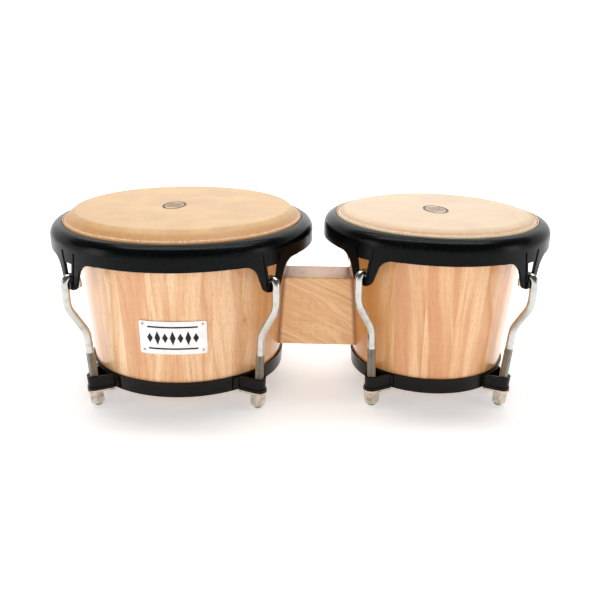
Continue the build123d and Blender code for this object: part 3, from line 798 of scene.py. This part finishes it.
def soft_box(name, position, target, size, watts, mirrored=True):
    """A rectangular light. One that isn't mirrored lights the drums and doesn't show in their gloss."""
    light = bpy.data.lights.new(name, "AREA")
    light.shape = "RECTANGLE"
    light.size, light.size_y = size
    light.energy = watts
    made = bpy.data.objects.new(name, light)
    made.location = position
    made.rotation_euler = (Vector(target) - Vector(position)).to_track_quat("-Z", "Y").to_euler()
    made.visible_glossy = mirrored
    bpy.context.scene.collection.objects.link(made)


def make_room():
    """Light from all round, bright near the floor and dim overhead."""
    world = bpy.data.worlds.new("studio")
    world.use_nodes = True
    tree = world.node_tree
    direction = tree.nodes.new("ShaderNodeTexCoord").outputs["Generated"]
    height = tree.nodes.new("ShaderNodeSeparateXYZ")
    tree.links.new(direction, height.inputs[0])
    fade = tree.nodes.new("ShaderNodeMapRange")
    fade.inputs["From Min"].default_value = ROOM_FADE_START
    fade.inputs["From Max"].default_value = ROOM_FADE_END
    fade.inputs["To Min"].default_value = ROOM_GLOW_BELOW
    fade.inputs["To Max"].default_value = ROOM_GLOW_ABOVE
    tree.links.new(height.outputs[2], fade.inputs["Value"])
    tree.links.new(fade.outputs[0], tree.nodes["Background"].inputs["Strength"])
    tree.nodes["Background"].inputs["Color"].default_value = (1, 1, 1, 1)
    bpy.context.scene.world = world


def make_lights():
    soft_box("front_box", (-0.1, -1.9, 0.75), STAGE_MIDDLE, (2.0, 0.9), 12.6, mirrored=False)
    soft_box("overhead", (0.0, -0.02, 1.45), RIM_MIDDLE, (1.8, 0.20), 10.5)
    soft_box("back_strip", (0.0, 0.80, 1.05), RIM_MIDDLE, (2.0, 0.14), 2.0)
    soft_box("left_box", (-0.95, -0.40, 0.30), STAGE_MIDDLE, (0.28, 0.55), 1.3)
    soft_box("right_box", (1.0, -0.35, 0.30), STAGE_MIDDLE, (0.28, 0.55), 1.3)
    soft_box("backdrop_wash", (0.0, 1.0, 2.6), (0, 2.8, 0.6), (3.0, 0.6), 45)


CAMERA_POSITION = Vector((12.4, -641.1, 304.8)) * MM
CAMERA_YAW = radians(-1.007)
CAMERA_PITCH = radians(19.365)  # downwards
CAMERA_ROLL = radians(-0.851)
CAMERA_LENS = 41.48
CAMERA_SENSOR = 36.0


def make_camera():
    forward = Vector(
        (
            sin(CAMERA_YAW) * cos(CAMERA_PITCH),
            cos(CAMERA_YAW) * cos(CAMERA_PITCH),
            -sin(CAMERA_PITCH),
        )
    )
    right = Vector((cos(CAMERA_YAW), -sin(CAMERA_YAW), 0))
    down = forward.cross(right)
    x_axis = right * cos(CAMERA_ROLL) + down * sin(CAMERA_ROLL)
    y_axis = right * sin(CAMERA_ROLL) - down * cos(CAMERA_ROLL)
    rotation = Matrix((x_axis, y_axis, -forward)).transposed().to_4x4()
    data = bpy.data.cameras.new("camera")
    data.lens = CAMERA_LENS
    data.sensor_width = CAMERA_SENSOR
    data.clip_start = 0.01
    camera = bpy.data.objects.new("camera", data)
    bpy.context.scene.collection.objects.link(camera)
    camera.matrix_world = Matrix.Translation(CAMERA_POSITION) @ rotation
    bpy.context.scene.camera = camera
    bpy.context.scene.view_settings.view_transform = "Standard"


# ---------------------------------------------------------------- the drums
def dress(material, *names):
    """Give CAD nodes their material. Their shading stays as packed."""
    for name in names:
        mesh = NODES[name].data
        mesh.materials.clear()
        mesh.materials.append(material)


def main():
    rim_black = powder_coat("rim_coat", (0.0008, 0.0012, 0.0014, 1), (0.0018, 0.0026, 0.0027, 1), 0.11)
    ring_black = powder_coat("ring_coat", (0.0034, 0.0027, 0.0020, 1), (0.0064, 0.0054, 0.0042, 1), 0.16)
    chrome = plated("chrome_plate", (0.60, 0.60, 0.57, 1), (0.48, 0.48, 0.45, 1), 0.12, 0.22, 0.000004)
    thread = plated("rolled_thread", (0.44, 0.42, 0.36, 1), (0.32, 0.30, 0.25, 1), 0.28, 0.42, 0.00001)
    nickel = plated("nickel_plate", (0.66, 0.58, 0.48, 1), (0.34, 0.28, 0.21, 1), 0.12, 0.26, 0.00002)
    zinc = plated("zinc_plate", (0.62, 0.62, 0.60, 1), (0.50, 0.50, 0.47, 1), 0.30, 0.45, 0.00001)
    brass = plated("turned_brass", (0.72, 0.54, 0.24, 1), (0.60, 0.43, 0.18, 1), 0.25, 0.40, 0.00001)
    badge = plated("badge_sheet", (0.88, 0.88, 0.88, 1), (0.80, 0.80, 0.80, 1), 0.38, 0.50, 0.000006)
    dress(shell_wood("hembra_staves", HEMBRA, 22, 3.0), "hembra_shell")
    dress(shell_wood("macho_staves", MACHO, 18, 11.0), "macho_shell")
    dress(block_wood("block_timber"), "centre_block")
    dress(brass, "block_inserts")
    dress(badge, "badge_plate")
    dress(nickel, "badge_nails")
    for drum in DRUMS:
        name = drum.name
        dress(rim_black, f"{name}_rim")
        dress(ring_black, f"{name}_bottom_ring")
        dress(zinc, f"{name}_flesh_hoop", f"{name}_block_bolts", f"{name}_block_washers")
        dress(nickel, f"{name}_lug_plates")
        make_skin(drum, hide(f"{name}_rawhide", drum))
        for number in (1, 2, 3, 4):
            dress(nickel, f"{name}_nut_{number}")
            make_hook(drum, number, chrome, thread)
    head_ink = ink("head_ink", srgb(62, 56, 58), srgb(206, 176, 140), 0.5)
    make_head_print(HEMBRA, (-8.5 * MM, -3.0 * MM), 9.5 * MM, 16.0 * MM, -4, head_ink)
    make_head_print(MACHO, (0.0, 0.0), 10.0 * MM, 16.5 * MM, 8, head_ink)
    make_badge_print(ink("badge_ink", srgb(26, 22, 22), srgb(90, 84, 82), 0.15))
    make_stage()
    make_room()
    make_lights()
    make_camera()


main()
